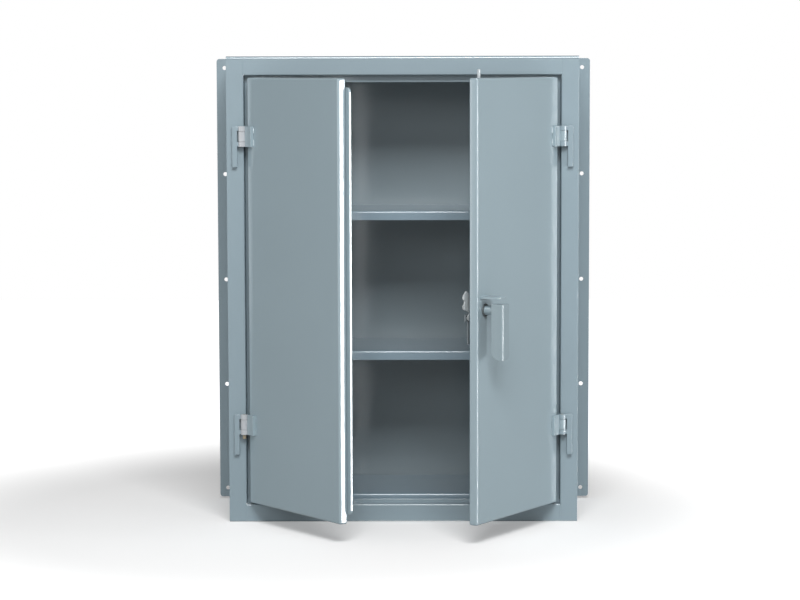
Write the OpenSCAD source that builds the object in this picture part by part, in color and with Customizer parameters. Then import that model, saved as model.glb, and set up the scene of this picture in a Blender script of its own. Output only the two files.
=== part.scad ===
// Wall mounted tool cabinet: welded sheet steel case, two hinged doors, two loose
// shelves, and a three point latch worked by one handle on the right door.
// +Z is up, the front faces -Y and X runs across the front. The origin is the middle
// of the underside. The doors stand open by the two angles under Doors. Each piece is
// drawn with Y counted from the face of the front frame, and is then moved into place.

/* [Cabinet] */
// Overall width of the case
cabinet_w = 914.4; // [760:0.1:1300]
// Overall height of the case
cabinet_h = 1219.2; // [1150:0.1:1500]
// Depth of the case from the front frame to the wall
cabinet_d = 355.6; // [280:0.1:600]
// Thickness of the steel sheet
sheet_t = 2.7; // [1.5:0.1:3.2]
// Height of the rounded nosing of the top panel over the front frame
nosing_h = 8; // [6:0.5:12]
// Radius of the nosing's front edge
nosing_r = 6; // [3:0.5:6]

/* [Front frame] */
// Width of each stile
stile_w = 45.5; // [40:0.5:55]
// Depth of the fold on each stile's inner edge
stile_fold = 36; // [20:1:60]
// Height of the header, nosing included
header_h = 49.3; // [40:0.1:80]
// Height of the sill
sill_h = 46; // [35:0.5:80]
// Gap between the shut doors and the stop bars
stop_gap = 0.4; // [0.3:0.1:2]
// How far the upper stop bar hangs below the header
header_stop_drop = 18.4; // [12:0.1:24]
// How far the lower stop bar stands above the sill
sill_stop_rise = 9.6; // [7:0.1:14]
// How far the side stop bars stand out from the stiles' folds
side_stop_w = 18; // [12:0.5:24]

/* [Wall flanges] */
// Reach of each flange beyond the side panel
flange_w = 52; // [40:0.5:80]
// Thickness of the flange angle
flange_t = 3; // [2:0.1:6]
// Width of the leg that is welded to the side panel
flange_leg = 38; // [25:1:60]
// Distance of each flange's ends from the ends of the case
flange_inset = 6; // [2:0.5:20]
// Radius of the flange's outer corners
flange_corner_r = 8; // [4:0.5:14]
// Diameter of the bolt holes
flange_hole_d = 11; // [6:0.1:13]
// Distance of the holes from the flange's outer edge
flange_hole_edge = 21.4; // [14:0.1:26]
// Distance of the end holes from the flange's ends
flange_hole_end = 24.6; // [16:0.1:50]

/* [Shelves] */
// Distance of the upper shelf's surface below the top of the case
upper_shelf_drop = 403.8; // [340:0.1:420]
// Height of the lower shelf's surface
lower_shelf_z = 447; // [400:0.1:480]
// Height of the cabinet floor's surface
floor_z = 67; // [62:0.5:90]
// Depth of the folded lip round each shelf
shelf_lip = 24; // [16:0.5:24]
// Distance of the shelf fronts behind the face of the front frame
shelf_front = 40; // [40:0.1:60]
// Clearance between a shelf and what it passes or touches
shelf_gap = 1.5; // [0.5:0.1:3]
// Depth of the slotted standards on the side walls
standard_d = 10; // [8:0.5:14]
// Width of the slotted standards
standard_w = 22; // [18:1:30]
// Thickness of the standards' steel
standard_t = 2; // [1.5:0.1:2.5]
// Distance of the standards' centres from the shelf fronts and from the back panel
standard_inset = 52; // [30:1:90]
// Height of one slot in the standards
slot_h = 16; // [10:1:20]
// Width of one slot in the standards
slot_w = 6; // [4:0.5:8]
// Spacing of the slots
slot_pitch = 50.8; // [30:0.1:60]
// How far a shelf clip reaches under the shelf
clip_reach = 14.5; // [10:0.5:20]
// Height of a shelf clip
clip_h = 15.5; // [10:0.5:20]
// Thickness of a shelf clip
clip_t = 3; // [2:0.1:4]

/* [Doors] */
// Thickness of the right door
door_t = 24; // [20:0.1:25]
// Gap between a shut door and its stile
hinge_gap = 2; // [2:0.1:3]
// Gap between the two shut doors
centre_gap = 3.5; // [3:0.1:6]
// Gap between a shut door and the header
top_gap = 5.5; // [3:0.1:8]
// Gap between a shut door and the sill
bottom_gap = 6.4; // [3:0.1:8]
// Width of the folds behind each door's edges
door_fold = 16; // [12:0.5:20]
// Width of the hat shaped stiffener in each door
stiffener_w = 60; // [40:1:90]
// Width of the flanges of that stiffener
stiffener_flange = 14; // [8:1:20]
// How far the left door stands open, in degrees
left_door_open = 52.8; // [10:0.1:120]
// How far the right door stands open, in degrees
right_door_open = 57.8; // [10:0.1:120]
// Thickness of the astragal, the bar behind the left door's free edge
astragal_t = 6.4; // [5:0.1:6.6]
// How far the astragal reaches past the left door's edge
astragal_reach = 13; // [10:0.5:16]
// How far the astragal laps behind the left door
astragal_lap = 24; // [14:0.5:30]
// Distance of the astragal's ends from the door's ends
astragal_inset = 23; // [10:0.5:60]
// Radius of the astragal's outer corners
astragal_r = 12; // [4:0.5:13]
// Clearance between the astragal and the shut right door
astragal_gap = 0.4; // [0.3:0.1:0.6]

/* [Hinges] */
// Diameter of the hinge barrels
barrel_d = 20; // [16:0.5:21]
// Height of the hinge barrels
barrel_h = 53; // [40:1:70]
// Height of each of the barrel's two end knuckles
end_knuckle_h = 13; // [10:0.5:16]
// Gap between knuckles
knuckle_gap = 0.5; // [0.3:0.1:1]
// Distance of the hinge axis in front of the frame
axis_off = 11; // [10.8:0.1:12]
// Distance of the hinge axis beyond the stile's inner edge
axis_out = 3.8; // [3:0.1:5]
// Diameter of the hinge pins
pin_d = 9.5; // [8:0.1:12]
// Radial clearance of the pins in the knuckles
pin_gap = 0.05; // [0.01:0.01:0.1]
// How far the left door's lower pin stands out below its barrel
pin_end = 11; // [2:0.5:16]
// Width of the posts that carry the hinges on the frame
post_w = 13; // [10:0.5:16]
// Height of those posts
post_h = 106; // [80:1:140]
// Gap between a post and its barrel
post_gap = 3.2; // [1:0.1:4]
// How far a post's face stands in front of the hinge axis
post_proud = 1; // [0.8:0.1:1.2]
// Width of the leaves on the doors, from the barrel
leaf_w = 26.5; // [22:0.1:60]
// Thickness of the leaves on the doors
leaf_t = 9.5; // [7:0.1:9.5]
// Clearance between a leaf and the frame's knuckles
leaf_gap = 0.6; // [0.3:0.1:1]
// Distance of the upper barrels' tops below the top of the case
upper_barrel_drop = 180.4; // [100:0.1:300]
// Height of the lower barrels' tops
lower_barrel_top = 285.7; // [200:0.1:330]

/* [Latch] */
// Distance of the handle's axis from the right door's free edge
hub_edge = 38; // [34:0.5:60]
// Distance of the handle's axis below the doors' mid height
hub_drop = 18.4; // [-30:0.1:50]
// Diameter of the handle's spindle
spindle_d = 16; // [12:0.5:18]
// Radial clearance of the spindle in its bearing
spindle_gap = 0.07; // [0.01:0.01:0.1]
// Outer diameter of the spindle's bearing
bearing_d = 26; // [22:0.5:30]
// Diameter of the bearing's flange on the door's face
bearing_flange_d = 32; // [32:1:48]
// Thickness of that flange
bearing_flange_t = 3; // [2:0.5:5]
// Width of the channel that carries the latch inside the right door
latch_channel_w = 76; // [60:1:110]
// Travel of the latch rods over a quarter turn of the handle
rod_travel = 38; // [37:0.5:41]
// Diameter of the latch rods
rod_d = 8; // [6:0.1:8]
// Distance of the rods' centre line behind the right door's face
rod_plane = 32.2; // [32:0.1:32.4]
// How far the upper rod stands above the door when latched
upper_rod_reach = 21; // [16:0.1:23]
// How far the lower rod stands below the door when latched
lower_rod_reach = 7.4; // [5:0.1:9]
// Thickness of the cam
cam_t = 4; // [3:0.1:4]
// Clearance between the astragal and the cam
cam_gap = 0.4; // [0.3:0.1:0.5]
// Diameter of the crank pins in the cam
crank_pin_d = 8; // [6:0.1:9]
// Clearance of the rod ends over the cam and the pins' heads
rod_end_gap = 0.4; // [0.3:0.1:0.6]
// Clearance round the crank pins in the rod ends' slots
slot_gap = 0.4; // [0.3:0.1:0.6]
// Thickness of the flat rod ends
rod_end_t = 4; // [3:0.1:4]
// Width of steel round the slots in the rod ends
rod_end_rim = 3.6; // [3:0.1:4]
// Radial clearance of the rods in their guides
guide_gap = 0.3; // [0.3:0.05:0.5]
// Width of the rod guides
guide_w = 22; // [16:1:28]
// Height of the rod guides
guide_h = 16; // [10:1:24]

/* [Handle] */
// Width of the handle's grip
grip_w = 34; // [28:1:40]
// Depth of the grip, from its open back to its face
grip_d = 32; // [26:1:40]
// Thickness of the grip's walls
grip_t = 4.5; // [3:0.1:5]
// Space between the grip and the door
grip_stand_off = 28; // [24:1:40]
// Distance of the grip's lower end below its axis
grip_drop = 121; // [90:1:140]
// Distance of the grip's upper end above its axis
grip_rise = 17; // [15:0.5:17]
// Radius of the grip's lower corner on the hinge side
grip_corner_r = 14; // [4:0.5:16]
// Diameter of the handle's boss
boss_d = 24; // [24:1:34]
// Thickness of the padlock tab on the door
tab_t = 4.8; // [3:0.1:6]
// Height of the tab's underside above the handle's axis
tab_rise = 30.5; // [26:0.5:34]
// How far the tab stands out of the door
tab_reach = 54; // [50:1:62]
// Width of the tab
tab_w = 40; // [30:1:44]
// Radius of the tab's outer corners
tab_r = 9; // [4:0.5:12]
// Diameter of the padlock hole in the tab and in the grip's top
padlock_d = 10.4; // [8:0.1:12]
// Distance of the padlock hole from the door's face
padlock_reach = 44; // [42:0.5:48]

/* [Hidden] */
$fn = 64;

// A cut reaches this far past the surface it opens
over = 1;

// Colours as painted, and of the bare steel parts
case_paint = [0.59, 0.68, 0.72];
door_paint = [0.61, 0.69, 0.73];
inner_paint = [0.50, 0.57, 0.62];
bare_steel = [0.62, 0.60, 0.55];

// Case
half_w = cabinet_w / 2;
inner_half_w = half_w - sheet_t;
back_y = cabinet_d - sheet_t;
panel_top = cabinet_h - sheet_t;
frame_top = cabinet_h - nosing_h;
opening_half_w = half_w - stile_w;
header_z = cabinet_h - header_h;
upper_shelf_z = cabinet_h - upper_shelf_drop;

// Doors: both panels, shut, stand between these limits
door_w = opening_half_w - hinge_gap - centre_gap / 2;
door_z0 = sill_h + bottom_gap;
door_z1 = header_z - top_gap;
door_h = door_z1 - door_z0;
edge_x = centre_gap / 2;
left_door_t = door_t + astragal_gap;
stop_y = left_door_t + stop_gap;

// Hinges
axis_x = opening_half_w + axis_out;
upper_barrel_top = cabinet_h - upper_barrel_drop;
post_x = barrel_d / 2 + post_gap;
mid_knuckle_h = barrel_h - 2 * (end_knuckle_h + knuckle_gap);
bore_d = pin_d + 2 * pin_gap;

// Latch: depths behind the right door's face, and the crank's geometry
hub_x = edge_x + hub_edge;
hub_z = (door_z0 + door_z1) / 2 - hub_drop;
astragal_y = left_door_t;
cam_y = astragal_y + astragal_t + cam_gap;
cam_back = cam_y + cam_t;
rod_end_y = cam_back + rod_end_gap;
rod_end_back = rod_end_y + rod_end_t;
crank_side = rod_travel / 2;
crank_r = crank_side * sqrt(2);
rod_off = (crank_side + crank_r) / 2;
rod_x = hub_x + rod_off;
// Between its ends a crank pin leads a rod that moves evenly by this much
crank_lead = crank_r * sin(22.5) - crank_side / 2;
rod_slot_w = crank_r - crank_side + crank_pin_d + 2 * slot_gap;
rod_slot_h = crank_pin_d + 2 * (crank_lead + slot_gap);
rod_end_w = rod_slot_w + 2 * rod_end_rim;
rod_end_h = rod_slot_h + 2 * rod_end_rim;
// The rods' round bars start beyond the cam's sweep, and lap over the flat ends
cam_sweep = 58;
rod_start = cam_sweep + rod_travel;
rod_stem_w = 10;
rod_lap = 25;
lower_cross_drop = 2 * rod_travel;
lower_rod_start = rod_start + 6;
thread_d = 10;
washer_d = 20;
washer_t = 2;
nut_w = 17;
nut_h = 8;
thread_end = 2;
collar_d = 24;
turn_gap = 0.3;
cam_hub_r = 16;
cam_lobe_r = 8.5;
hook_reach = 12.5;
hook_notch_r = 8;
hook_notch_z = 21.5;
pin_cap_w = 4;
pin_cap_t = 1.6;
rivet_h = 5;
guide_wall = 1.4;
tab_shift = 4;
heel_r = 22;

// Stops' folds, hidden behind the header and the sill
stop_fold = 25;

// Moves a piece so that the origin lies in the middle of the cabinet's depth
module placed() {
    translate([0, -cabinet_d / 2, 0]) children();
}

// Plain shapes

module block(low, high) {
    translate(low) cube(high - low);
}

module upright(x, y, z, d, h) {
    translate([x, y, z]) cylinder(d = d, h = h);
}

// A round bar along Y from y0 to y1
module across(x, z, y0, y1, d) {
    translate([x, y0, z]) rotate([-90, 0, 0]) cylinder(d = d, h = y1 - y0);
}

// A flat outline drawn in X and Z, from y0 back to y1
module plate(y0, y1) {
    translate([0, y1, 0]) rotate([90, 0, 0]) linear_extrude(y1 - y0) children();
}

module swing_left() {
    translate([-axis_x, -axis_off, 0]) rotate([0, 0, -left_door_open])
        translate([axis_x, axis_off, 0]) children();
}

module swing_right() {
    translate([axis_x, -axis_off, 0]) rotate([0, 0, right_door_open])
        translate([-axis_x, axis_off, 0]) children();
}

// Case

module side_panel() {
    difference() {
        block([inner_half_w, sheet_t, sheet_t], [half_w, back_y, panel_top]);
        block([inner_half_w - over, 0, cabinet_h - nosing_r], [half_w + over, nosing_r, cabinet_h]);
    }
}

module side_panel_left() {
    color(inner_paint) placed() mirror([1, 0, 0]) side_panel();
}

module side_panel_right() {
    color(inner_paint) placed() side_panel();
}

module back_panel() {
    color(inner_paint) placed() block([-half_w, back_y, sheet_t], [half_w, cabinet_d, panel_top]);
}

module bottom_panel() {
    color(inner_paint) placed() block([-half_w, 0, 0], [half_w, cabinet_d, sheet_t]);
}

module top_panel() {
    color(case_paint) placed() {
        block([-half_w, nosing_r, panel_top], [half_w, cabinet_d, cabinet_h]);
        block([-half_w, 0, frame_top], [half_w, sheet_t, cabinet_h - nosing_r]);
        intersection() {
            translate([-half_w, nosing_r, cabinet_h - nosing_r]) rotate([0, 90, 0])
                difference() {
                    cylinder(r = nosing_r, h = cabinet_w);
                    translate([0, 0, -over]) cylinder(r = nosing_r - sheet_t, h = cabinet_w + 2 * over);
                }
            block([-half_w, 0, cabinet_h - nosing_r], [half_w, nosing_r, cabinet_h]);
        }
    }
}

module shelf_pan(half, y0, y1, z) {
    difference() {
        block([-half, y0, z - shelf_lip], [half, y1, z]);
        block([-half + sheet_t, y0 + sheet_t, z - shelf_lip - over],
            [half - sheet_t, y1 - sheet_t, z - sheet_t]);
    }
}

module floor_pan() {
    color(inner_paint) placed() shelf_pan(inner_half_w, shelf_front, back_y, floor_z);
}

// Front frame

module stile() {
    block([opening_half_w, 0, sheet_t], [half_w, sheet_t, frame_top]);
    block([opening_half_w, sheet_t, sheet_t], [opening_half_w + sheet_t, stile_fold, frame_top]);
}

module stile_left() {
    color(case_paint) placed() mirror([1, 0, 0]) stile();
}

module stile_right() {
    color(case_paint) placed() stile();
}

module header() {
    color(case_paint) placed() {
        block([-opening_half_w, 0, header_z], [opening_half_w, sheet_t, frame_top]);
        block([-opening_half_w, 0, header_z], [opening_half_w, stop_y, header_z + sheet_t]);
    }
}

module sill() {
    color(case_paint) placed() {
        block([-opening_half_w, 0, sheet_t], [opening_half_w, sheet_t, sill_h]);
        block([-opening_half_w, 0, sill_h - sheet_t], [opening_half_w, stop_y, sill_h]);
    }
}

module header_stop() {
    color(case_paint) placed() block([-opening_half_w, stop_y, header_z - header_stop_drop],
        [opening_half_w, stop_y + sheet_t, header_z + stop_fold]);
}

module sill_stop() {
    color(case_paint) placed() block([-opening_half_w, stop_y, sill_h - stop_fold],
        [opening_half_w, stop_y + sheet_t, sill_h + sill_stop_rise]);
}

// A stop bar behind the hinge side of a door, on the stile's fold
module side_stop() {
    z0 = sill_h + sill_stop_rise;
    z1 = header_z - header_stop_drop;
    block([opening_half_w - side_stop_w, stop_y, z0], [opening_half_w, stop_y + sheet_t, z1]);
    block([opening_half_w - sheet_t, stop_y + sheet_t, z0], [opening_half_w, stile_fold, z1]);
}

module side_stop_left() {
    color(case_paint) placed() mirror([1, 0, 0]) side_stop();
}

module side_stop_right() {
    color(case_paint) placed() side_stop();
}

// Wall flanges

module wall_flange() {
    z0 = flange_inset;
    z1 = cabinet_h - flange_inset;
    outer = half_w + flange_w;
    hole_first = z0 + flange_hole_end;
    hole_pitch = (z1 - flange_hole_end - hole_first) / 4;
    plate(cabinet_d - flange_t, cabinet_d) difference() {
        union() {
            translate([half_w, z0]) square([flange_w - flange_corner_r, z1 - z0]);
            translate([half_w, z0 + flange_corner_r])
                square([flange_w, z1 - z0 - 2 * flange_corner_r]);
            for (z = [z0 + flange_corner_r, z1 - flange_corner_r])
                translate([outer - flange_corner_r, z]) circle(flange_corner_r);
        }
        for (i = [0 : 4])
            translate([outer - flange_hole_edge, hole_first + i * hole_pitch])
                circle(d = flange_hole_d);
    }
    block([half_w, cabinet_d - flange_leg, z0], [half_w + flange_t, cabinet_d - flange_t, z1]);
}

module wall_flange_left() {
    color(inner_paint) placed() mirror([1, 0, 0]) wall_flange();
}

module wall_flange_right() {
    color(inner_paint) placed() wall_flange();
}

// Shelves and what carries them

standard_ys = [shelf_front + standard_inset, back_y - standard_inset];
standard_x = inner_half_w - standard_d;
standard_z0 = floor_z + slot_h;
standard_z1 = header_z - slot_h;
shelf_half_w = standard_x - shelf_gap;

module standard_pair() {
    slots = floor((standard_z1 - standard_z0 - slot_h) / slot_pitch);
    for (y = standard_ys) {
        translate([standard_x, 0, 0]) rotate([90, 0, 90]) linear_extrude(standard_t) difference() {
            translate([y - standard_w / 2, standard_z0]) square([standard_w, standard_z1 - standard_z0]);
            for (i = [0 : slots])
                translate([y - slot_w / 2, standard_z0 + slot_h / 2 + i * slot_pitch])
                    square([slot_w, slot_h]);
        }
        for (side = [-standard_w / 2, standard_w / 2 - standard_t])
            block([standard_x + standard_t, y + side, standard_z0],
                [inner_half_w, y + side + standard_t, standard_z1]);
    }
}

module shelf_standards_left() {
    color(inner_paint) placed() mirror([1, 0, 0]) standard_pair();
}

module shelf_standards_right() {
    color(inner_paint) placed() standard_pair();
}

module clip(y, z) {
    block([standard_x - clip_reach, y - standard_w / 2, z - clip_t], [standard_x, y + standard_w / 2, z]);
    block([standard_x - clip_t, y - standard_w / 2, z - clip_h], [standard_x, y + standard_w / 2, z - clip_t]);
}

module shelf_clips() {
    color(bare_steel) placed()
        for (side = [0, 1], y = standard_ys, z = [upper_shelf_z, lower_shelf_z])
            mirror([side, 0, 0]) clip(y, z - shelf_lip);
}

module loose_shelf(z) {
    shelf_pan(shelf_half_w, shelf_front, back_y - shelf_gap, z);
}

module shelf_upper() {
    color(inner_paint) placed() loose_shelf(upper_shelf_z);
}

module shelf_lower() {
    color(inner_paint) placed() loose_shelf(lower_shelf_z);
}

// Hinges, drawn on the right with the axis along Z at the origin of the plan

module place_axis(top) {
    translate([axis_x, -axis_off, top - barrel_h]) children();
}

module hinge_frame(top) {
    place_axis(top) difference() {
        union() {
            block([post_x, -post_proud, barrel_h - post_h], [post_x + post_w, axis_off, barrel_h]);
            for (z = [0, barrel_h - end_knuckle_h]) {
                upright(0, 0, z, barrel_d, end_knuckle_h);
                block([0, -post_proud, z], [post_x + over, barrel_d / 2 - 0.5, z + end_knuckle_h]);
            }
        }
        upright(0, 0, -over, bore_d, barrel_h + 2 * over);
    }
}

module hinge_frame_left_top() {
    color(case_paint) placed() mirror([1, 0, 0]) hinge_frame(upper_barrel_top);
}

module hinge_frame_left_bottom() {
    color(case_paint) placed() mirror([1, 0, 0]) hinge_frame(lower_barrel_top);
}

module hinge_frame_right_top() {
    color(case_paint) placed() hinge_frame(upper_barrel_top);
}

module hinge_frame_right_bottom() {
    color(case_paint) placed() hinge_frame(lower_barrel_top);
}

module hinge_pins_left() {
    color(bare_steel) placed() mirror([1, 0, 0]) {
        place_axis(upper_barrel_top) upright(0, 0, 0, pin_d, barrel_h);
        place_axis(lower_barrel_top) upright(0, 0, -pin_end, pin_d, barrel_h + pin_end);
    }
}

module hinge_pins_right() {
    color(bare_steel) placed() for (top = [upper_barrel_top, lower_barrel_top])
        place_axis(top) upright(0, 0, 0, pin_d, barrel_h);
}

module leaf(top) {
    z0 = end_knuckle_h + knuckle_gap;
    reach = barrel_d / 2 + leaf_gap;
    place_axis(top) difference() {
        union() {
            upright(0, 0, z0, barrel_d, mid_knuckle_h);
            block([-reach - over, axis_off - leaf_t, z0], [0, barrel_d / 2 - 0.5, z0 + mid_knuckle_h]);
            block([-reach - leaf_w, axis_off - leaf_t, 0], [-reach, axis_off, barrel_h]);
        }
        upright(0, 0, -over, bore_d, barrel_h + 2 * over);
    }
}

module left_leaf_top() {
    color(door_paint) placed() swing_left() mirror([1, 0, 0]) leaf(upper_barrel_top);
}

module left_leaf_bottom() {
    color(door_paint) placed() swing_left() mirror([1, 0, 0]) leaf(lower_barrel_top);
}

module right_leaf_top() {
    color(door_paint) placed() swing_right() leaf(upper_barrel_top);
}

module right_leaf_bottom() {
    color(door_paint) placed() swing_right() leaf(lower_barrel_top);
}

// Doors, drawn shut on the right

module door_panel(t) {
    x1 = edge_x + door_w;
    difference() {
        block([edge_x, 0, door_z0], [x1, t, door_z1]);
        block([edge_x + sheet_t, sheet_t, door_z0 + sheet_t], [x1 - sheet_t, t - sheet_t, door_z1 - sheet_t]);
        block([edge_x + door_fold, sheet_t, door_z0 + door_fold], [x1 - door_fold, t + over, door_z1 - door_fold]);
    }
}

module hat_stiffener(t) {
    mid = edge_x + door_w / 2;
    z0 = door_z0 + sheet_t;
    z1 = door_z1 - sheet_t;
    inner = stiffener_w / 2;
    block([mid - inner, t - 2 * sheet_t, z0], [mid + inner, t - sheet_t, z1]);
    for (side = [-1, 1]) {
        x = mid + side * (inner - sheet_t / 2);
        block([x - sheet_t / 2, 2 * sheet_t, z0], [x + sheet_t / 2, t - 2 * sheet_t, z1]);
        foot = mid + side * (inner + stiffener_flange / 2 - sheet_t / 2);
        block([foot - stiffener_flange / 2 - sheet_t / 2, sheet_t, z0],
            [foot + stiffener_flange / 2 + sheet_t / 2, 2 * sheet_t, z1]);
    }
}

module left_door_panel() {
    color(door_paint) placed() swing_left() mirror([1, 0, 0]) door_panel(left_door_t);
}

module left_door_stiffener() {
    color(door_paint) placed() swing_left() mirror([1, 0, 0]) hat_stiffener(left_door_t);
}

module astragal() {
    x0 = -edge_x - astragal_lap;
    x1 = -edge_x + astragal_reach;
    z0 = door_z0 + astragal_inset;
    z1 = door_z1 - astragal_inset;
    color(door_paint) placed() swing_left() plate(astragal_y, astragal_y + astragal_t) {
        translate([x0, z0]) square([x1 - x0 - astragal_r, z1 - z0]);
        translate([x0, z0 + astragal_r]) square([x1 - x0, z1 - z0 - 2 * astragal_r]);
        for (z = [z0 + astragal_r, z1 - astragal_r])
            translate([x1 - astragal_r, z]) circle(astragal_r);
    }
}

module right_door_panel() {
    color(door_paint) placed() swing_right() difference() {
        door_panel(door_t);
        across(hub_x, hub_z, -over, sheet_t + over, bearing_d);
    }
}

module right_door_stiffener() {
    color(door_paint) placed() swing_right() hat_stiffener(door_t);
}

// Latch

module latch_channel() {
    x0 = edge_x + door_fold;
    x1 = x0 + latch_channel_w;
    z0 = door_z0 + sheet_t;
    z1 = door_z1 - sheet_t;
    color(door_paint) placed() swing_right() difference() {
        union() {
            block([x0, door_t - sheet_t, door_z0 + door_fold], [x1, door_t, door_z1 - door_fold]);
            for (x = [x0, x1 - sheet_t])
                block([x, sheet_t, z0], [x + sheet_t, door_t - sheet_t, z1]);
        }
        across(hub_x, hub_z, sheet_t, door_t + over, bearing_d);
    }
}

module lock_bearing() {
    color(bare_steel) placed() swing_right() difference() {
        union() {
            across(hub_x, hub_z, 0, door_t + bearing_flange_t, bearing_d);
            across(hub_x, hub_z, -bearing_flange_t, 0, bearing_flange_d);
        }
        across(hub_x, hub_z, -bearing_flange_t - over, door_t + bearing_flange_t + over,
            spindle_d + 2 * spindle_gap);
    }
}

module padlock_tab() {
    x0 = hub_x - tab_w / 2 - tab_shift;
    color(door_paint) placed() swing_right()
        translate([0, 0, hub_z + tab_rise]) linear_extrude(tab_t) difference() {
        union() {
            translate([x0, -tab_reach + tab_r]) square([tab_w, tab_reach - tab_r]);
            translate([x0 + tab_r, -tab_reach]) square([tab_w - 2 * tab_r, tab_r]);
            for (x = [x0 + tab_r, x0 + tab_w - tab_r])
                translate([x, -tab_reach + tab_r]) circle(tab_r);
        }
        translate([hub_x, -padlock_reach]) circle(d = padlock_d);
    }
}

// Guides near the door's ends, and just clear of the flat rod ends
guide_end = 30;
guide_clear = 40;
guide_zs = [
    door_z1 - guide_end - guide_h,
    hub_z + rod_start + rod_lap + guide_clear,
    hub_z - lower_rod_start - rod_lap - guide_clear - guide_h,
    door_z0 + guide_end
];

module rod_guides() {
    back = rod_plane + rod_d / 2 + guide_gap + guide_wall;
    color(bare_steel) placed() swing_right() for (z = guide_zs) difference() {
        block([rod_x - guide_w / 2, door_t, z], [rod_x + guide_w / 2, back, z + guide_h]);
        upright(rod_x, rod_plane, z - over, rod_d + 2 * guide_gap, guide_h + 2 * over);
    }
}

module spindle() {
    front = -grip_stand_off - grip_t - rivet_h;
    color(bare_steel) placed() swing_right() {
        across(hub_x, hub_z, front, door_t + bearing_flange_t, spindle_d);
        across(hub_x, hub_z, door_t + bearing_flange_t + turn_gap, cam_y, collar_d);
        across(hub_x, hub_z, door_t, cam_back + washer_t + nut_h + thread_end, thread_d);
    }
}

module spindle_washer() {
    color(bare_steel) placed() swing_right() difference() {
        across(hub_x, hub_z, cam_back, cam_back + washer_t, washer_d);
        across(hub_x, hub_z, cam_back - over, cam_back + washer_t + over, thread_d);
    }
}

module spindle_nut() {
    y0 = cam_back + washer_t;
    color(bare_steel) placed() swing_right() difference() {
        translate([hub_x, y0, hub_z]) rotate([-90, 0, 0]) cylinder(d = nut_w / cos(30), h = nut_h, $fn = 6);
        across(hub_x, hub_z, y0 - over, y0 + nut_h + over, thread_d);
    }
}

// The cam's hook reaches past the door's free edge, and its two lobes carry the crank pins
module latch_cam() {
    hook = hub_edge + hook_reach;
    color(bare_steel) placed() swing_right() difference() {
        union() {
            across(hub_x, hub_z, cam_y, cam_back, 2 * cam_hub_r);
            for (side = [45, 225]) translate([hub_x, 0, hub_z]) rotate([0, -side, 0]) {
                block([0, cam_y, -cam_lobe_r], [crank_r, cam_back, cam_lobe_r]);
                across(crank_r, 0, cam_y, cam_back, 2 * cam_lobe_r);
            }
            translate([hub_x, 0, hub_z]) plate(cam_y, cam_back)
                polygon([[6, -9], [-2, -13], [-34, -1], [-hook + 2, 4], [-hook, 11], [-hook, 31],
                    [-hook + 2, 38], [-37, 48], [-26, 43], [-2, 13], [6, 9]]);
        }
        across(hub_x - hook - 1, hub_z + hook_notch_z, cam_y - over, cam_back + over, 2 * hook_notch_r);
        across(hub_x, hub_z, cam_y - over, cam_back + over, thread_d);
    }
}

module crank_pins() {
    head_y = rod_end_back + rod_end_gap;
    color(bare_steel) placed() swing_right() for (side = [-1, 1]) {
        x = hub_x + side * crank_side;
        z = hub_z + side * crank_side;
        across(x, z, cam_back, head_y, crank_pin_d);
        across(x, z, head_y, head_y + pin_cap_t, crank_pin_d + pin_cap_w);
    }
}

// The flat end of a rod with its slot, drawn for the upper rod
module rod_end() {
    difference() {
        translate([rod_x - rod_end_w / 2, hub_z + crank_side - rod_end_h / 2])
            square([rod_end_w, rod_end_h]);
        translate([rod_x - rod_slot_w / 2, hub_z + crank_side - rod_slot_h / 2])
            square([rod_slot_w, rod_slot_h]);
    }
}

module upper_rod() {
    z0 = hub_z + rod_start;
    z1 = door_z1 + upper_rod_reach;
    stem_z0 = hub_z + crank_side + rod_end_h / 2 - over;
    color(bare_steel) placed() swing_right() {
        upright(rod_x, rod_plane, z0, rod_d, z1 - z0);
        plate(rod_end_y, rod_end_back) {
            rod_end();
            translate([rod_x - rod_stem_w / 2, stem_z0]) square([rod_stem_w, z0 + rod_lap - stem_z0]);
        }
    }
}

module lower_rod() {
    z0 = door_z0 - lower_rod_reach;
    z1 = hub_z - lower_rod_start;
    stem_z1 = hub_z - crank_side - rod_end_h / 2 + over;
    cross_top = hub_z - lower_cross_drop;
    stem_x0 = hub_x - rod_off + rod_end_w / 2 - rod_stem_w;
    color(bare_steel) placed() swing_right() {
        upright(rod_x, rod_plane, z0, rod_d, z1 - z0);
        plate(rod_end_y, rod_end_back) {
            translate([2 * hub_x, 2 * hub_z]) rotate(180) rod_end();
            translate([stem_x0, cross_top - rod_stem_w])
                square([rod_stem_w, stem_z1 - cross_top + rod_stem_w]);
            translate([stem_x0, cross_top - rod_stem_w]) square([rod_x - stem_x0, rod_stem_w]);
            translate([rod_x - rod_stem_w / 2, z1 - rod_lap]) square([rod_stem_w, cross_top - z1 + rod_lap]);
        }
    }
}

// Handle: a steel channel with its open back to the door, and a boss on the spindle

module grip_outline(inset) {
    x0 = -grip_w / 2 + inset;
    x1 = grip_w / 2 - inset;
    z0 = -grip_drop + inset;
    z1 = grip_rise - inset;
    r = grip_corner_r - inset;
    translate([x0, z0]) square([x1 - x0 - r, z1 - z0]);
    translate([x0, z0 + r]) square([x1 - x0, z1 - z0 - r]);
    translate([x1 - r, z0 + r]) circle(r);
}

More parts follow.
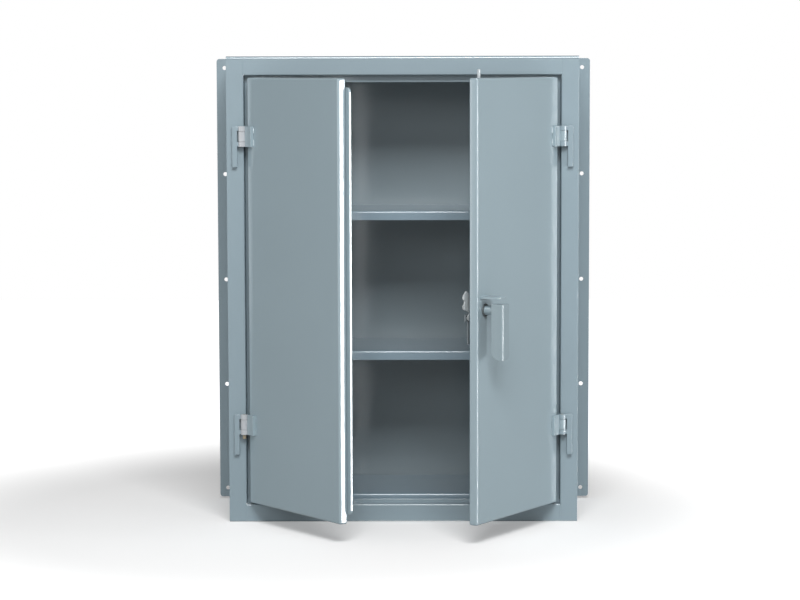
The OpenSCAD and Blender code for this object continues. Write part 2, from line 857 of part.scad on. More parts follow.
module handle_lever() {
    back = -grip_stand_off;
    face = back - grip_d;
    color(door_paint) placed() swing_right() translate([hub_x, 0, hub_z]) difference() {
        union() {
            difference() {
                plate(face, back) grip_outline(0);
                plate(face + grip_t, back - grip_t) grip_outline(grip_t);
                block([-grip_w / 2 + grip_t, face + grip_t, -grip_drop - over],
                    [grip_w / 2 - grip_t, back + over, -boss_d / 2 - 3]);
                block([-grip_w / 2 - over, back - heel_r, -grip_drop - over],
                    [grip_w / 2 + over, back + over, -grip_drop + heel_r]);
            }
            intersection() {
                difference() {
                    translate([-grip_w / 2, back - heel_r, -grip_drop + heel_r]) rotate([0, 90, 0])
                        cylinder(r = heel_r, h = grip_w);
                    block([-grip_w / 2 + grip_t, face, -grip_drop - over],
                        [grip_w / 2 - grip_t, back + over, -grip_drop + heel_r + over]);
                }
                plate(face, back) grip_outline(0);
                block([-grip_w / 2, back - heel_r, -grip_drop], [grip_w / 2, back, -grip_drop + heel_r]);
            }
            across(0, 0, back, -bearing_flange_t - turn_gap, boss_d);
        }
        across(0, 0, back - grip_t - over, -bearing_flange_t + over, spindle_d);
        translate([0, -padlock_reach, 0]) cylinder(d = padlock_d, h = grip_rise + over);
    }
}

side_panel_left();
side_panel_right();
back_panel();
top_panel();
bottom_panel();
floor_pan();
stile_left();
stile_right();
header();
sill();
header_stop();
sill_stop();
side_stop_left();
side_stop_right();
wall_flange_left();
wall_flange_right();
shelf_standards_left();
shelf_standards_right();
shelf_clips();
shelf_upper();
shelf_lower();
hinge_frame_left_top();
hinge_frame_left_bottom();
hinge_frame_right_top();
hinge_frame_right_bottom();
hinge_pins_left();
hinge_pins_right();
left_door_panel();
left_door_stiffener();
astragal();
left_leaf_top();
left_leaf_bottom();
right_door_panel();
right_door_stiffener();
latch_channel();
right_leaf_top();
right_leaf_bottom();
lock_bearing();
padlock_tab();
rod_guides();
handle_lever();
spindle();
latch_cam();
crank_pins();
spindle_washer();
spindle_nut();
upper_rod();
lower_rod();
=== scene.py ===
import math
import bpy
import bmesh
from mathutils import Matrix, Vector


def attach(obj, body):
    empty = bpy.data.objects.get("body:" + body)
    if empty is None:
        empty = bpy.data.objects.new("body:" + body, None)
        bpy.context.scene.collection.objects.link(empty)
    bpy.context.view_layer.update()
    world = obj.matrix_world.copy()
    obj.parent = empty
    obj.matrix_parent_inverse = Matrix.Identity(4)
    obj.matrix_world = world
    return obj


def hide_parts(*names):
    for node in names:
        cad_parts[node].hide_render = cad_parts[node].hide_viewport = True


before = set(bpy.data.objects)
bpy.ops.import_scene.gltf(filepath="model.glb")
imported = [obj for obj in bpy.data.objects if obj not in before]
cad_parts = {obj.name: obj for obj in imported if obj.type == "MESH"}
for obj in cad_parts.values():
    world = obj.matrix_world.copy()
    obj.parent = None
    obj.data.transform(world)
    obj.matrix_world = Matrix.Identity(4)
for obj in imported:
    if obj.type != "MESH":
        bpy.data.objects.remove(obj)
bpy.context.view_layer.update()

# Studio. A long lens far back, at the height of the cabinet's top, looks slightly down, so the
# uprights stay almost parallel. Four softboxes light a white floor, which keeps the cabinet's
# soft shadow. It is left out of reflections, so the low part of the right softbox shows in them.
MM = 0.001
LENS = 113.386
CAMERA_AT = Vector((42.78, -6726.01, 1204.19)) * MM
YAW, PITCH, ROLL = math.radians(0.44), math.radians(5.40), math.radians(-0.14)
FAR_CLIP = 100
WORLD_LEVEL = 0.17
LAMPS_AIM = Vector((0, 0, 0.6))
SOFTBOXES = dict(
    top=dict(at=(0.4, -3.9, 3.9), wide=2.4, tall=1.5, power=205),
    front=dict(at=(-1.3, -6.5, 2.7), wide=3.4, tall=1.6, power=54),
    right=dict(at=(5.1, -1.82, -0.1), wide=1.15, tall=2.8, power=235),
    left=dict(at=(-4.6, -1.9, 1.2), wide=1.4, tall=2.4, power=33),
)

camera = bpy.data.objects.new("camera", bpy.data.cameras.new("camera"))
bpy.context.scene.collection.objects.link(camera)
camera.data.sensor_width = 36
camera.data.lens = LENS
camera.data.clip_end = FAR_CLIP
level_right = Vector((math.cos(YAW), math.sin(YAW), 0))
level_ahead = Vector((-math.sin(YAW), math.cos(YAW), 0))
ahead = level_ahead * math.cos(PITCH) - Vector((0, 0, math.sin(PITCH)))
level_up = level_ahead * math.sin(PITCH) + Vector((0, 0, math.cos(PITCH)))
right = level_right * math.cos(ROLL) + level_up * math.sin(ROLL)
up = level_up * math.cos(ROLL) - level_right * math.sin(ROLL)
camera.matrix_world = Matrix.Translation(CAMERA_AT) @ Matrix((right, up, -ahead)).transposed().to_4x4()
bpy.context.scene.camera = camera
bpy.context.scene.view_settings.view_transform = "Standard"


class Wire:
    """A socket that takes part in arithmetic: each operator adds its Math node."""

    def __init__(self, shop, socket):
        self.shop, self.socket = shop, socket

    def __add__(self, other):
        return self.shop.maths("ADD", self, other)

    def __sub__(self, other):
        return self.shop.maths("SUBTRACT", self, other)

    def __mul__(self, other):
        return self.shop.maths("MULTIPLY", self, other)


class PaintShop:
    """A node tree, with one method that makes any node. An input n0 is the first by number."""

    def __init__(self, tree):
        self.tree = tree
        tree.nodes.clear()

    def node(self, kind, settings=None, **inputs):
        made = self.tree.nodes.new("ShaderNode" + kind)
        for name, value in (settings or {}).items():
            setattr(made, name, value)
        for name, value in inputs.items():
            numbered = name[0] == "n" and name[1:].isdigit()
            socket = made.inputs[int(name[1:]) if numbered else name]
            if isinstance(value, Wire):
                self.tree.links.new(value.socket, socket)
            else:
                socket.default_value = value
        return made

    def wire(self, made, output=0):
        return Wire(self, made.outputs[output])

    def maths(self, operation, first, second):
        return self.wire(self.node("Math", dict(operation=operation), n0=first, n1=second))


def paint(r, g, b):
    """A colour as the eye reads it, 0 to 255, made linear."""
    parts = [c / 255 for c in (r, g, b)]
    return tuple(c / 12.92 if c <= 0.04045 else ((c + 0.055) / 1.055) ** 2.4 for c in parts) + (1.0,)


world = bpy.data.worlds.new("studio")
bpy.context.scene.world = world
world.use_nodes = True
sky = PaintShop(world.node_tree)
rays = sky.node("LightPath")
shown = sky.maths("MAXIMUM", sky.wire(rays, "Is Camera Ray"), sky.wire(rays, "Is Transmission Ray"))
room = sky.node("Background", Color=(1, 1, 1, 1), Strength=WORLD_LEVEL)
white = sky.node("Background", Color=(1, 1, 1, 1), Strength=1.0)
either = sky.node("MixShader", n0=shown, n1=sky.wire(room), n2=sky.wire(white))
sky.node("OutputWorld", Surface=sky.wire(either))

for name, box in SOFTBOXES.items():
    lamp = bpy.data.objects.new(name, bpy.data.lights.new(name, "AREA"))
    bpy.context.scene.collection.objects.link(lamp)
    lamp.data.shape = "RECTANGLE"
    lamp.data.size, lamp.data.size_y = box["wide"], box["tall"]
    lamp.data.energy = box["power"]
    lamp.location = box["at"]
    lamp.rotation_mode = "QUATERNION"
    lamp.rotation_quaternion = (LAMPS_AIM - Vector(box["at"])).to_track_quat("-Z", "Y")

# The floor also glows white to the camera alone: faintly round a spot beside the cabinet, where its shadow
# shows, and fully further off, where the shadow is washed out.
SHADE_AT, SHADE_INNER, SHADE_OUTER = (-0.25, -0.1, 0), 0.75, 1.7
GLOW_INNER, GLOW_OUTER = 0.24, 1.0
FLOOR_HALF, FLOOR_DROP = 6, 0.0005
floor_mesh = bpy.data.meshes.new("floor")
sheet = bmesh.new()
bmesh.ops.create_grid(sheet, x_segments=1, y_segments=1, size=FLOOR_HALF)
bmesh.ops.translate(sheet, verts=sheet.verts, vec=(0, 0, -FLOOR_DROP))
sheet.to_mesh(floor_mesh)
sheet.free()
floor = bpy.data.objects.new("floor", floor_mesh)
bpy.context.scene.collection.objects.link(floor)
floor_paint = bpy.data.materials.new("floor_white")
floor_paint.use_nodes = True
shop = PaintShop(floor_paint.node_tree)
rays = shop.node("LightPath")
matt = shop.node("BsdfDiffuse", Color=(0.8, 0.8, 0.8, 1))
spot = shop.wire(shop.node("TexCoord"), "Object")
far = shop.wire(shop.node("VectorMath", dict(operation="DISTANCE"), n0=spot, n1=SHADE_AT), "Value")
away = shop.wire(shop.node("MapRange", dict(interpolation_type="SMOOTHSTEP"), n0=far,
                           n1=SHADE_INNER, n2=SHADE_OUTER, n3=GLOW_INNER, n4=GLOW_OUTER))
glow = shop.node("Emission", Color=(1, 1, 1, 1), Strength=shop.wire(rays, "Is Camera Ray") * away)
ground = shop.node("AddShader", n0=shop.wire(matt), n1=shop.wire(glow))
clear = shop.node("MixShader", n0=shop.wire(rays, "Is Glossy Ray"), n1=shop.wire(ground),
                  n2=shop.wire(shop.node("BsdfTransparent")))
shop.node("OutputMaterial", Surface=shop.wire(clear))
floor_mesh.materials.append(floor_paint)


# Case. Two sides, a back and a bottom of steel sheet, welded along their edges and sprayed
# with grey blue enamel. The enamel's faint orange peel and slight unevenness show close up.
def enamel(name, colour, peel=0.03, uneven=0.035, rough=0.40, coat=0.9):
    made = bpy.data.materials.new(name)
    made.use_nodes = True
    shop = PaintShop(made.node_tree)
    place = shop.wire(shop.node("TexCoord"), "Object")
    clouds = shop.wire(shop.node("TexNoise", Vector=place, Scale=3.1, Detail=4.0, Roughness=0.55), "Fac")
    specks = shop.wire(shop.node("TexNoise", Vector=place, Scale=240.0, Detail=2.0), "Fac")
    skin = shop.wire(shop.node("TexNoise", Vector=place, Scale=520.0, Detail=1.0), "Fac")
    shade = (clouds - 0.5) * (2 * uneven) + (specks - 0.5) * 0.03
    dark = tuple(c * 0.8 for c in colour[:3]) + (1,)
    light = tuple(min(1, c * 1.2) for c in colour[:3]) + (1,)
    tint = shop.node("Mix", dict(data_type="RGBA"), n0=shade * 2.5 + 0.5, n6=dark, n7=light)
    dull = (clouds - 0.5) * 0.16 + rough
    bump = shop.node("Bump", Strength=peel, Distance=0.0004, Height=skin)
    steel = shop.node("BsdfPrincipled", n0=shop.wire(tint, 2), Roughness=dull, Normal=shop.wire(bump))
    steel.inputs["Coat Weight"].default_value = coat
    steel.inputs["Coat Roughness"].default_value = 0.14
    steel.inputs["Coat IOR"].default_value = 1.8
    shop.node("OutputMaterial", Surface=shop.wire(steel))
    return made


CASE_BLUE = enamel("case_blue", paint(138, 156, 165))
CASE = Matrix.Translation((0, -177.8, 0))
SMOOTH_BELOW, ROUND_ABOVE = math.radians(30), math.radians(40)
WELD_DISTANCE, FLAT_ANGLE = 0.00002, math.radians(0.4)


def finished(name, body, material, nodes, shape, edge=0.5, segments=2):
    """Turns a mesh in metres into a piece that stands for its nodes, with its sharp edges rounded."""
    bmesh.ops.recalc_face_normals(shape, faces=shape.faces)
    for face in shape.faces:
        face.smooth = True
    for line in shape.edges:
        line.smooth = len(line.link_faces) == 2 and line.calc_face_angle(0) < SMOOTH_BELOW
    mesh = bpy.data.meshes.new(name)
    shape.to_mesh(mesh)
    shape.free()
    mesh.materials.append(material)
    piece = bpy.data.objects.new(name, mesh)
    bpy.context.scene.collection.objects.link(piece)
    if edge:
        rounding = piece.modifiers.new("edges", "BEVEL")
        rounding.width = edge * MM
        rounding.segments = segments
        rounding.limit_method = "ANGLE"
        rounding.angle_limit = ROUND_ABOVE
    level = piece.modifiers.new("flat faces", "WEIGHTED_NORMAL")
    level.keep_sharp = True
    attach(piece, body)
    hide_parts(*nodes)
    return piece


def carried(nodes):
    """The meshes of CAD nodes as one, with the triangles of each flat face joined."""
    shape = bmesh.new()
    for node in nodes:
        shape.from_mesh(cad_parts[node].data)
    bmesh.ops.remove_doubles(shape, verts=shape.verts, dist=WELD_DISTANCE)
    bmesh.ops.dissolve_limit(shape, angle_limit=FLAT_ANGLE, verts=shape.verts, edges=shape.edges)
    return shape


def dressed(name, body, material, nodes, edge=0.5, segments=2):
    """A piece with the form of its CAD nodes, whose cut edges are rounded off."""
    return finished(name, body, material, nodes, carried(nodes), edge, segments)


GREY_BLUE = enamel("grey_blue", paint(133, 147, 153), uneven=0.05)
for node in ("side_panel_left", "side_panel_right", "back_panel", "bottom_panel"):
    dressed(node + "_sheet", "case", GREY_BLUE, [node], edge=1.0)


# Front frame. Stiles, header and sill are strips of the same sheet, each with one edge folded
# back over a small radius. They butt at the corners, where the welds are ground almost flush.
SHEET = 2.7
BEND = 3.4
HALF_W, OPEN_W, FRAME_TOP = 457.2, 411.7, 1211.2
HEADER_Z, SILL_Z, STOP_Y, FOLD_Y = 1169.9, 46.0, 24.8, 36


def folded(shape, path, low, high, place, radius=BEND, steps=5):
    """A bent strip from low to high: a path in a plane, with the sheet's thickness on its left."""
    near, far = [], []
    points = [Vector(p) for p in path]
    for i, point in enumerate(points):
        before = (point - points[i - 1]).normalized() if i else (points[1] - point).normalized()
        after = (points[i + 1] - point).normalized() if i < len(points) - 1 else before
        turn = math.atan2(before.x * after.y - before.y * after.x, before.dot(after))
        side = Vector((-before.y, before.x))
        if abs(turn) < 0.01:
            near.append(point)
            far.append(point + side * SHEET)
            continue
        outer = radius if turn > 0 else radius - SHEET
        reach = abs(math.tan(turn / 2))
        start = point - before * (outer * reach)
        middle = start + side * (outer if turn > 0 else -outer)
        for step in range(steps + 1):
            spin = Matrix.Rotation(turn * step / steps, 2)
            spoke = spin @ (start - middle)
            unit = spoke.normalized()
            near.append(middle + spoke)
            far.append(middle + unit * (outer - SHEET if turn > 0 else outer + SHEET))
    outline = near + far[::-1]
    ends = [[shape.verts.new(place @ Vector((p.x, p.y, w))) for p in outline] for w in (low, high)]
    count = len(outline)
    for i in range(count):
        j = (i + 1) % count
        shape.faces.new((ends[0][i], ends[0][j], ends[1][j], ends[1][i]))
    half = count // 2
    for end in ends:
        for i in range(half - 1):
            shape.faces.new((end[i], end[i + 1], end[count - 2 - i], end[count - 1 - i]))


def metres(place, *axes):
    """A matrix from millimetres along the named axes to metres in the cabinet."""
    return Matrix.Scale(MM, 4) @ place @ Matrix([Vector(a) for a in axes]).transposed().to_4x4()


def slab(shape, low, high, place):
    """A plain block between two corners, for a bevelled piece."""
    made = bmesh.ops.create_cube(shape, size=1)["verts"]
    middle = (Vector(low) + Vector(high)) / 2
    size = Vector(high) - Vector(low)
    for vert in made:
        vert.co = place @ (middle + Vector(c * s for c, s in zip(vert.co, size)))


def welds(name, body, material, nodes, place, lines, width=4.2, proud=2.0, sides=12):
    """Weld beads: low rounded ridges along the lines, with the ripples of the pool."""
    shape = bmesh.new()
    for start, end in lines:
        start, end = Vector(start), Vector(end)
        along = (end - start).normalized()
        across = along.cross(Vector((0, 1, 0))).normalized()
        out = across.cross(along)
        rings = []
        count = max(4, int((end - start).length / (width * 0.3)))
        for i in range(count + 1):
            swell = (1 + 0.1 * math.cos(math.pi * i)) * min(1, 0.35 + 0.65 * min(i, count - i))
            spot = start + (end - start) * (i / count)
            ring = []
            for k in range(sides):
                angle = math.tau * k / sides
                sideways = across * (math.cos(angle) * width / 2 * swell)
                outward = out * (math.sin(angle) * proud * swell)
                ring.append(shape.verts.new(place @ (spot + (sideways + outward))))
            rings.append(ring)
        for one, two in zip(rings, rings[1:]):
            for k in range(sides):
                shape.faces.new((one[k], one[(k + 1) % sides], two[(k + 1) % sides], two[k]))
        shape.faces.new(rings[0])
        shape.faces.new(rings[-1][::-1])
    return finished(name, body, material, nodes, shape, edge=0)


X, Y, Z = (1, 0, 0), (0, 1, 0), (0, 0, 1)
for node, side in (("stile_left", -1), ("stile_right", 1)):
    shape = bmesh.new()
    folded(shape, [(OPEN_W, FOLD_Y), (OPEN_W, 0), (HALF_W, 0)], SHEET, FRAME_TOP,
           metres(CASE, (side, 0, 0), Y, Z))
    finished(node + "_strip", "case", CASE_BLUE, [node], shape, edge=0.5)
for node, path in (("header", [(0, FRAME_TOP), (0, HEADER_Z), (STOP_Y, HEADER_Z)]),
                   ("sill", [(STOP_Y, SILL_Z), (0, SILL_Z), (0, SHEET)])):
    shape = bmesh.new()
    folded(shape, path, -OPEN_W, OPEN_W, metres(CASE, Y, Z, X))
    finished(node + "_strip", "case", CASE_BLUE, [node], shape, edge=0.5)
    low, high = (HEADER_Z + 3, FRAME_TOP) if node == "header" else (SHEET, SILL_Z - 3)
    welds(node + "_welds", "case", CASE_BLUE, [node], metres(CASE, X, Y, Z),
          [((side * OPEN_W, 0.3, low), (side * OPEN_W, 0.3, high)) for side in (-1, 1)], 3.4, 0.55)
dressed("top_panel_nosing", "case", CASE_BLUE, ["top_panel"], edge=0.6)

# Stop bars. Flat bars behind the opening's edges, which the shut doors come up against, spot
# welded to the folds of the frame. The side ones are angles on the stiles.
SIDE_STOP_W, SIDE_STOP_LOW, SIDE_STOP_HIGH = 18, 55.6, 1151.5
for node in ("header_stop", "sill_stop"):
    dressed(node + "_bar", "case", CASE_BLUE, [node], edge=0.9, segments=3)
for node, side in (("side_stop_left", -1), ("side_stop_right", 1)):
    shape = bmesh.new()
    folded(shape, [(OPEN_W - SIDE_STOP_W, STOP_Y), (OPEN_W, STOP_Y), (OPEN_W, FOLD_Y)],
           SIDE_STOP_LOW, SIDE_STOP_HIGH, metres(CASE, (side, 0, 0), Y, Z))
    finished(node + "_angle", "case", CASE_BLUE, [node], shape, edge=0.7)

# Wall flanges. An angle down each side at the back, with five bolt holes, held to the side
# panel by short welds.
FLANGE_Y, WELD_FIRST, WELD_LONG, WELD_PITCH = 317.6, 60, 38, 150
for node, side in (("wall_flange_left", -1), ("wall_flange_right", 1)):
    dressed(node + "_angle", "case", CASE_BLUE, [node], edge=0.8)
    starts = [WELD_FIRST + i * WELD_PITCH for i in range(8)]
    welds(node + "_welds", "case", CASE_BLUE, [node], metres(CASE, X, Y, Z),
          [((side * HALF_W, FLANGE_Y, z), (side * HALF_W, FLANGE_Y, z + WELD_LONG)) for z in starts],
          4.4, 2.4)

# Shelves and floor. Pans of the same sheet with a lip folded down on every side. The lower
# pan is the cabinet's floor and is welded in, the other two lie loose on clips.
INNER_BLUE = enamel("inner_blue", paint(134, 155, 168), uneven=0.045)
SHELF_FRONT, SHELF_LIP, SHELF_BEND = 40, 24, 4.6


def pan(shape, low, high, place, rim=0, radius=BEND, steps=4):
    """Sheet bent into a tray: its face at high z, walls down to low z, and a rim turned in there."""
    slab(shape, low, high, Matrix())
    floor = [f for f in shape.faces if all(abs(v.co.z - low[2]) < 0.01 for v in f.verts)]
    if rim:
        shape.normal_update()
        bmesh.ops.bevel(shape, geom=shape.edges[:], offset=radius, segments=steps, profile=0.5,
                        affect="EDGES", material=-1)
        shape.normal_update()
        floor = [max((f for f in shape.faces if f.normal.z < -0.99), key=lambda f: f.calc_area())]
        bmesh.ops.inset_region(shape, faces=floor, thickness=rim - radius, depth=0)
        bmesh.ops.delete(shape, geom=floor, context="FACES")
    else:
        bmesh.ops.delete(shape, geom=floor, context="FACES_ONLY")
        edges = [e for e in shape.edges if len(e.link_faces) == 2]
        bmesh.ops.bevel(shape, geom=edges, offset=radius, segments=steps, profile=0.5,
                        affect="EDGES", material=-1)
    bmesh.ops.recalc_face_normals(shape, faces=shape.faces)
    bmesh.ops.solidify(shape, geom=shape.faces[:], thickness=SHEET)
    bmesh.ops.transform(shape, matrix=place, verts=shape.verts)


for node, half, back, z in (("floor_pan", 454.5, 352.9, 67.0), ("shelf_upper", 443.0, 351.4, 815.4),
                            ("shelf_lower", 443.0, 351.4, 447.0)):
    shape = bmesh.new()
    pan(shape, (-half, SHELF_FRONT, z - SHELF_LIP), (half, back, z), metres(CASE, X, Y, Z),
        radius=SHELF_BEND)
    finished(node + "_tray", "case", INNER_BLUE, [node], shape, edge=0.4)
for node in ("shelf_standards_left", "shelf_standards_right"):
    dressed(node + "_channels", "case", INNER_BLUE, [node], edge=0.4)

# Shelf clips. Zinc plated angles hooked into the slots of the standards.
BARE = enamel("bare_steel", paint(140, 141, 138), rough=0.35)
dressed("shelf_clips_plated", "case", BARE, ["shelf_clips"], edge=0.5)

# Hinges on the frame. A square post with two knuckles is welded to the front of the stile. The posts are
# painted with the case. On the left side the turned barrels are given a light grey; on the right they take
# the blue of the case and the doors.
BRIGHT = enamel("bright_barrel", paint(180, 184, 188), rough=0.3)
AXIS_X, AXIS_Y = 415.5, -11.0
UPPER_TOP, LOWER_TOP = 1038.8, 285.7
BARREL_H, KNUCKLE_H = 53.0, 13.0


def turned(shape, profile, place, steps=48):
    """A part turned on a lathe: pairs of radius and height round a closed outline, about Z."""
    rings = []
    for r, z in profile:
        rings.append([shape.verts.new(place @ Vector((r * math.cos(2 * math.pi * k / steps),
                                                      r * math.sin(2 * math.pi * k / steps), z)))
                      for k in range(steps)] if r else [shape.verts.new(place @ Vector((0, 0, z)))])
    for one, two in zip(rings, rings[1:] + rings[:1]):
        for k in range(steps):
            j = (k + 1) % steps
            if len(one) > 1 and len(two) > 1:
                shape.faces.new((one[k], one[j], two[j], two[k]))
            elif len(one) > 1:
                shape.faces.new((one[k], one[j], two[0]))
            elif len(two) > 1:
                shape.faces.new((one[0], two[j], two[k]))


def knuckle(shape, low, high, place):
    """A short tube with chamfered rims, from low to high."""
    turned(shape, [(4.8, low), (9.2, low), (10, low + 0.8), (10, high - 0.8), (9.2, high), (4.8, high)],
           place)


for node, side, top in (("hinge_frame_left_top", -1, UPPER_TOP), ("hinge_frame_left_bottom", -1, LOWER_TOP),
                        ("hinge_frame_right_top", 1, UPPER_TOP), ("hinge_frame_right_bottom", 1, LOWER_TOP)):
    place = metres(CASE @ Matrix.Translation((side * AXIS_X, AXIS_Y, top - BARREL_H)), (side, 0, 0), Y, Z)
    shape = bmesh.new()
    slab(shape, (13.2, -1, BARREL_H - 106), (26.2, 11, BARREL_H), place)
    for z in (0, BARREL_H - KNUCKLE_H):
        slab(shape, (8.0, -1, z + 0.6), (14.2, 9.0, z + KNUCKLE_H - 0.6), place)
    finished(node + "_post", "case", CASE_BLUE, [node], shape, edge=0.9, segments=3)
    welds(node + "_welds", "case", CASE_BLUE, [node], place,
          [((26.6, 10.4, BARREL_H - z), (26.6, 10.4, BARREL_H - z + 22)) for z in (104, 65, 26)], 4.2, 1.8)
    shape = bmesh.new()
    for z in (0, BARREL_H - KNUCKLE_H):
        knuckle(shape, z, z + KNUCKLE_H, place)
    finished(node + "_knuckles", "case", BRIGHT if side < 0 else CASE_BLUE, [node], shape, edge=0)

# Hinge pins. Dull tan steel rod cut to length, tapped in flush. The left door's lower one has
# worked down below its barrel.
PIN_R, PIN_END_R, PIN_CHAMFER, PIN_DROP = 4.75, 4.05, 0.7, 11
DULL = enamel("dull_pin", paint(150, 140, 118), rough=0.5, coat=0)
for node, side in (("hinge_pins_left", -1), ("hinge_pins_right", 1)):
    shape = bmesh.new()
    for top, drop in ((UPPER_TOP, 0), (LOWER_TOP, PIN_DROP if side < 0 else 0)):
        place = metres(CASE @ Matrix.Translation((side * AXIS_X, AXIS_Y, top - BARREL_H)), (side, 0, 0), Y, Z)
        turned(shape, [(0, -drop), (PIN_END_R, -drop), (PIN_R, PIN_CHAMFER - drop),
                       (PIN_R, BARREL_H - PIN_CHAMFER), (PIN_END_R, BARREL_H), (0, BARREL_H)], place)
    finished(node + "_rods", "case", DULL, [node], shape, edge=0)

# Doors. Each is a tray of sheet steel, folded over a small radius on all four sides and turned
# in again behind, welded at the corners and enamelled like the case.
DOOR_BLUE = enamel("door_blue", paint(146, 164, 172))
OPEN_LEFT, OPEN_RIGHT = math.radians(52.8), math.radians(57.8)
DOOR_LOW, DOOR_HIGH = 52.4, 1164.4
DOOR_X0, DOOR_X1 = 1.75, 409.7
DOOR_RIM, DOOR_BEND = 16, 5.0
LEFT_THICK, RIGHT_THICK = 24.4, 24.0
hinge = Matrix.Translation((-AXIS_X, AXIS_Y, 0))
LEFT = CASE @ hinge @ Matrix.Rotation(-OPEN_LEFT, 4, "Z") @ hinge.inverted()
hinge = Matrix.Translation((AXIS_X, AXIS_Y, 0))
RIGHT = CASE @ hinge @ Matrix.Rotation(OPEN_RIGHT, 4, "Z") @ hinge.inverted()
MIRRORED = (-1, 0, 0)
for node, body, place, thick in (
        ("left_door_panel", "left_door", metres(LEFT, MIRRORED, Z, (0, -1, 0)), LEFT_THICK),
        ("right_door_panel", "right_door", metres(RIGHT, X, Z, (0, -1, 0)), RIGHT_THICK)):
    shape = bmesh.new()
    pan(shape, (DOOR_X0, DOOR_LOW, -thick), (DOOR_X1, DOOR_HIGH, 0), place, rim=DOOR_RIM, radius=DOOR_BEND)
    finished(node + "_tray", body, DOOR_BLUE, [node], shape, edge=0.3)

# Door stiffeners. A hat section stands the height of each door, with its brims spot welded to
# the inside of the front sheet.
BRIM_HALF, HAT_HALF = 42, 30 - SHEET
middle = (DOOR_X0 + DOOR_X1) / 2
for node, body, place, thick in (
        ("left_door_stiffener", "left_door", metres(LEFT, MIRRORED, Y, Z), LEFT_THICK),
        ("right_door_stiffener", "right_door", metres(RIGHT, X, Y, Z), RIGHT_THICK)):
    crown = thick - 2 * SHEET
    shape = bmesh.new()
    folded(shape, [(middle - BRIM_HALF, SHEET), (middle - HAT_HALF, SHEET), (middle - HAT_HALF, crown),
                   (middle + HAT_HALF, crown), (middle + HAT_HALF, SHEET), (middle + BRIM_HALF, SHEET)],
           DOOR_LOW + SHEET, DOOR_HIGH - SHEET, place)
    finished(node + "_hat", body, DOOR_BLUE, [node], shape, edge=0.3)

# Astragal. A flat bar welded behind the left door's free edge, which the right door and the
# hook close against, with its outer corners rounded.
ASTRAGAL_X, ASTRAGAL_Y = -25.75, 24.9
dressed("astragal_bar", "left_door", DOOR_BLUE, ["astragal"], edge=0.9, segments=3)
welds("astragal_welds", "left_door", DOOR_BLUE, ["astragal"], metres(LEFT, X, Y, Z),
      [((ASTRAGAL_X, ASTRAGAL_Y, 90 + i * 138), (ASTRAGAL_X, ASTRAGAL_Y, 120 + i * 138)) for i in range(8)],
      4.0, 2.2)

# Hinge leaves. A thick plate with the middle knuckle, welded to the front of each door near
# its hinge edge.
for node, body, side, swing, top in (("left_leaf_top", "left_door", -1, LEFT, UPPER_TOP),
                                     ("left_leaf_bottom", "left_door", -1, LEFT, LOWER_TOP),
                                     ("right_leaf_top", "right_door", 1, RIGHT, UPPER_TOP),
                                     ("right_leaf_bottom", "right_door", 1, RIGHT, LOWER_TOP)):
    place = metres(swing @ Matrix.Translation((side * AXIS_X, AXIS_Y, top - BARREL_H)), (side, 0, 0), Y, Z)
    low, high = KNUCKLE_H + 0.5, BARREL_H - KNUCKLE_H - 0.5
    shape = bmesh.new()
    slab(shape, (-37.1, 1.5, 0), (-10.6, 11, BARREL_H), place)
    slab(shape, (-11.6, 1.6, low + 0.6), (-7.5, 9.0, high - 0.6), place)
    finished(node + "_plate", body, DOOR_BLUE, [node], shape, edge=0.9, segments=3)
    welds(node + "_welds", body, DOOR_BLUE, [node], place,
          [((-37.1, 10.4, z), (-37.1, 10.4, z + 18)) for z in (2, BARREL_H - 20)], 4.0, 1.8)
    shape = bmesh.new()
    knuckle(shape, low, high, place)
    finished(node + "_knuckle", body, BRIGHT if side < 0 else DOOR_BLUE, [node], shape, edge=0)

# Latch channel. A shallow channel inside the right door that carries the spindle's bearing and
# the rod guides, let in flush between the door's rims.
dressed("latch_channel_sheet", "right_door", DOOR_BLUE, ["latch_channel"], edge=1.2, segments=3)

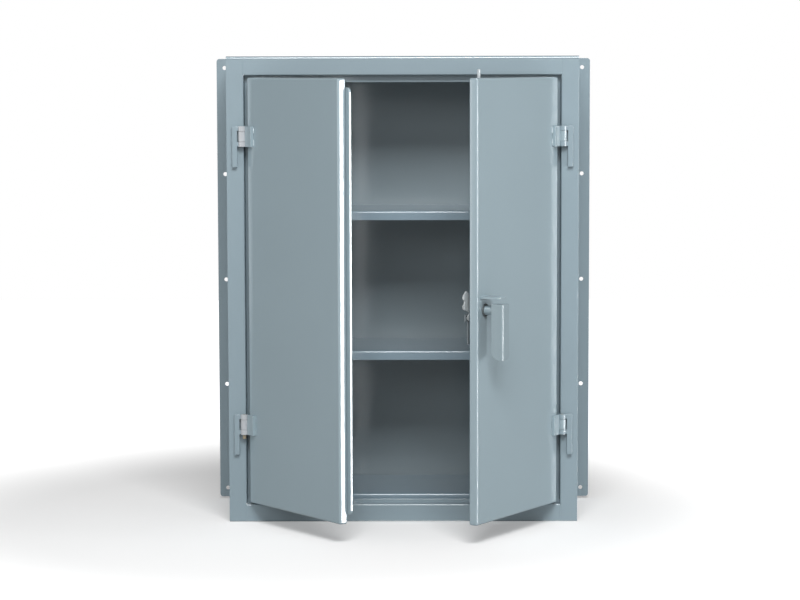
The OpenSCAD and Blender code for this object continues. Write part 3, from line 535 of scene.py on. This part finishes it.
# Padlock tab. A plate with rounded corners and one hole, welded square to the door's face
# just above the handle.
HUB_X, HUB_Z = 39.75, 590.0
dressed("padlock_tab_plate", "right_door", DOOR_BLUE, ["padlock_tab"], edge=0.9, segments=3)
welds("padlock_tab_welds", "right_door", DOOR_BLUE, ["padlock_tab"], metres(RIGHT, X, Y, Z),
      [((HUB_X - 22, -0.6, HUB_Z + z), (HUB_X + 14, -0.6, HUB_Z + z)) for z in (30.1, 35.7)], 3.2, 2.0)

# Spindle bearing and rod guides. Turned and pressed steel, screwed and welded to the door. Their dark grey is
# painted shade, for the shadow they sit in beside the handle and behind the door's edge.
STEEL_PAINTED_SHADE = enamel("steel_painted_shade", paint(84, 90, 92), rough=0.6, coat=0)
for node in ("lock_bearing", "rod_guides"):
    dressed(node + "_plated", "right_door", STEEL_PAINTED_SHADE, [node], edge=0.6)

# Handle. A steel channel closed at the top, its open back to the door, welded on a round boss and enamelled.
# Its grey blue is a little darker than the door's as painted shade, to keep its side face as dim as the door.
# Its two long front edges are well rounded.
GRIP_HALF_W, GRIP_FRONT, GRIP_LONG, GRIP_ROUND = 17, -60, 0.09, 0.006
shape = carried(["handle_lever"])
shut = metres(RIGHT, X, Y, Z).inverted()
corners = [line for line in shape.edges if line.calc_length() > GRIP_LONG
           and all(abs(abs(spot.x - HUB_X) - GRIP_HALF_W) < 0.1 and abs(spot.y - GRIP_FRONT) < 0.1
                   for spot in (shut @ end.co for end in line.verts))]
bmesh.ops.bevel(shape, geom=corners, offset=GRIP_ROUND, segments=6, profile=0.5,
                affect="EDGES", material=-1)
# A grey blue darker than the door's, standing in for shade on the handle's side face.
GRIP_BLUE_PAINTED_SHADE = enamel("grip_blue_painted_shade", paint(138, 155, 162))
finished("handle_lever_channel", "handle", GRIP_BLUE_PAINTED_SHADE, ["handle_lever"], shape,
         edge=1.0, segments=3)

# Latch works. Spindle, cam with its hook, crank pins, washer and nut are zinc plated steel, and
# turn together behind the door.
ZINC = enamel("zinc", paint(168, 174, 176), rough=0.3)
for node in ("spindle", "latch_cam", "crank_pins", "spindle_washer", "spindle_nut"):
    dressed(node + "_zinc", "handle", ZINC, [node], edge=0.5)

# Latch rods. Round bars with flat slotted ends, which slide in the guides. Both are one steel, given a lit
# and a shaded copy: the upper one a light grey as painted highlight, the lower one a dark grey as painted
# shade, so it goes dim against the back wall.
ROD_PAINTED_LIT = enamel("rod_painted_lit", paint(178, 186, 190), rough=0.3)
ROD_PAINTED_SHADE = enamel("rod_painted_shade", paint(106, 114, 118), rough=0.5, coat=0)
for node, skin in (("upper_rod", ROD_PAINTED_LIT), ("lower_rod", ROD_PAINTED_SHADE)):
    dressed(node + "_bar", node, skin, [node], edge=0.7)
